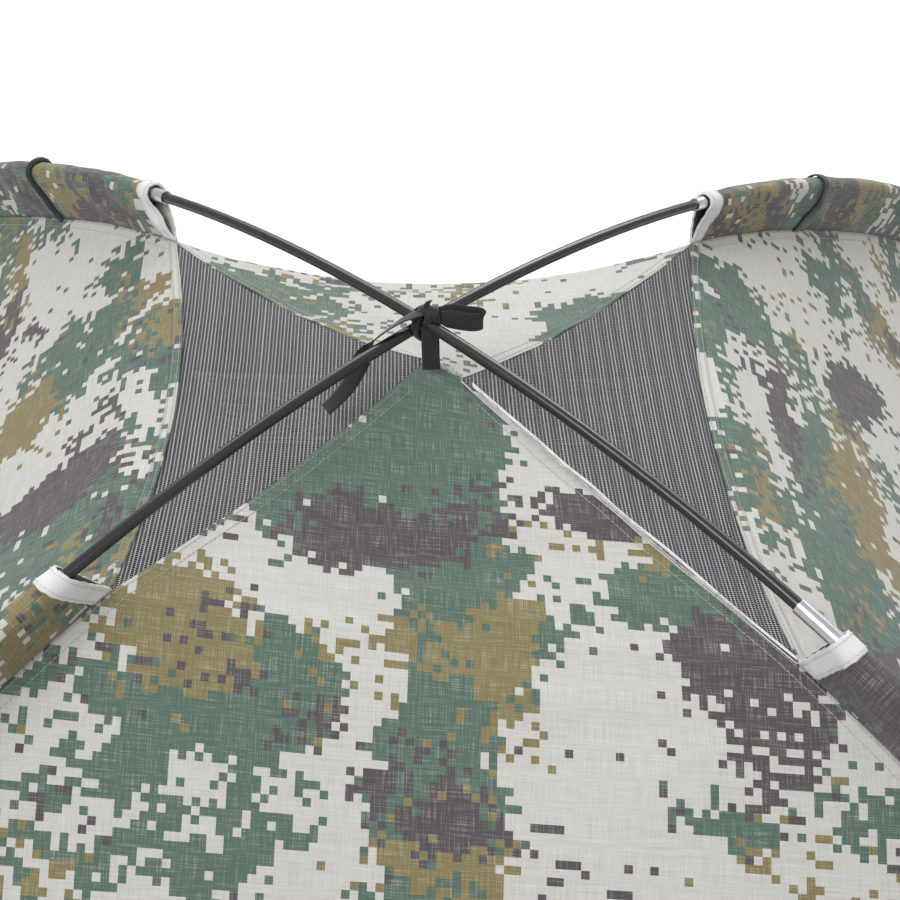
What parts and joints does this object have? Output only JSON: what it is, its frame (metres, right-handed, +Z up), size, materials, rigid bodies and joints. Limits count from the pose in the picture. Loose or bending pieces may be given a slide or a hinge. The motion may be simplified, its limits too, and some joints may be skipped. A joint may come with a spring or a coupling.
{
  "type": "pole-and-sleeve dome blind",
  "caption": "Small square dome blind: crossed sleeved poles, camouflage walls, net roof vents, zipped door and flapped back window.",
  "frame": {"origin": "middle of the floor, on the ground under the groundsheet", "axes": "+Z up, +X to the right as seen from in front, the door faces -Y"},
  "size_m": [2.0912, 2.0912, 1.3322],
  "materials": {
    "camouflage_cloth": "plain-woven polyester, matt, printed camouflage",
    "netting": "fine open netting",
    "white_tape": "smooth white polyester",
    "groundsheet_cloth": "coated woven polyethylene",
    "black_webbing": "woven ribbon and webbing",
    "elastic_cord": "covered elastic",
    "grip_strip": "hook-and-loop",
    "zip_tape": "coil zip on tape",
    "black_fibreglass": "glossy black fibreglass",
    "bright_metal": "bright plated steel",
    "eyelet_brass": "rolled brass",
    "zip_metal": "black painted zinc"
  },
  "bodies": {
    "blind": {"corner_tab_back_left": "black_webbing", "corner_tab_back_right": "black_webbing", "corner_tab_front_left": "black_webbing", "corner_tab_front_right": "black_webbing", "crown_seam_tape": "white_tape", "crown_tie": "black_webbing", "elastic_loops": "elastic_cord", "groundsheet": "groundsheet_cloth", "peg_eyelet_back_left": "eyelet_brass", "peg_eyelet_back_right": "eyelet_brass", "peg_eyelet_front_left": "eyelet_brass", "peg_eyelet_front_right": "eyelet_brass", "pole_a_end_caps": "bright_metal", "pole_a_ferrules": "bright_metal", "pole_a_rod_1": "black_fibreglass", "pole_a_rod_2": "black_fibreglass", "pole_a_rod_3": "black_fibreglass", "pole_a_rod_4": "black_fibreglass", "pole_a_rod_5": "black_fibreglass", "pole_a_rod_6": "black_fibreglass", "pole_a_rod_7": "black_fibreglass", "pole_a_shock_cord": "elastic_cord", "pole_b_end_caps": "bright_metal", "pole_b_ferrules": "bright_metal", "pole_b_rod_1": "black_fibreglass", "pole_b_rod_2": "black_fibreglass", "pole_b_rod_3": "black_fibreglass", "pole_b_rod_4": "black_fibreglass", "pole_b_rod_5": "black_fibreglass", "pole_b_rod_6": "black_fibreglass", "pole_b_rod_7": "black_fibreglass", "pole_b_shock_cord": "elastic_cord", "pole_eyelets": "eyelet_brass", "roof_mesh_left": "netting", "roof_mesh_right": "netting", "sleeve_back_left": "camouflage_cloth", "sleeve_back_right": "camouflage_cloth", "sleeve_front_left": "camouflage_cloth", "sleeve_front_right": "camouflage_cloth", "sleeve_mouth_hems": "white_tape", "wall_back": "camouflage_cloth", "wall_front": "camouflage_cloth", "wall_grip_strip": "grip_strip", "wall_left": "camouflage_cloth", "wall_right": "camouflage_cloth", "window_mesh": "netting", "zip_chain_wall": "zip_tape"},
    "door": {"door_panel": "camouflage_cloth", "zip_chain_door": "zip_tape"},
    "zip_slider": {"zip_slider": "zip_metal"},
    "zip_pull": {"zip_pull": "zip_metal"},
    "window_flap": {"window_flap": "camouflage_cloth", "flap_grip_strip": "grip_strip"}
  },
  "joints": [
    {"name": "door_hinge", "type": "hinge", "parent": "blind", "child": "door", "pos_m": [0, -0.93392, 0.1307], "axis": [1, 0, 0], "range_deg": [0, 120]},
    {"name": "zip_travel", "type": "hinge", "parent": "door", "child": "zip_slider", "pos_m": [0, 4.8018, -1.70593], "axis": [-1, 0, 0], "range_deg": [0, 3.3]},
    {"name": "zip_pull_swing", "type": "hinge", "parent": "zip_slider", "child": "zip_pull", "pos_m": [0.35, -0.92327, 0.1818], "axis": [-1, 0, 0], "range_deg": [0, 160]},
    {"name": "window_flap_hinge", "type": "hinge", "parent": "blind", "child": "window_flap", "pos_m": [0, 0.79022, 0.536], "axis": [-1, 0, 0], "range_deg": [0, 160]}
  ]
}
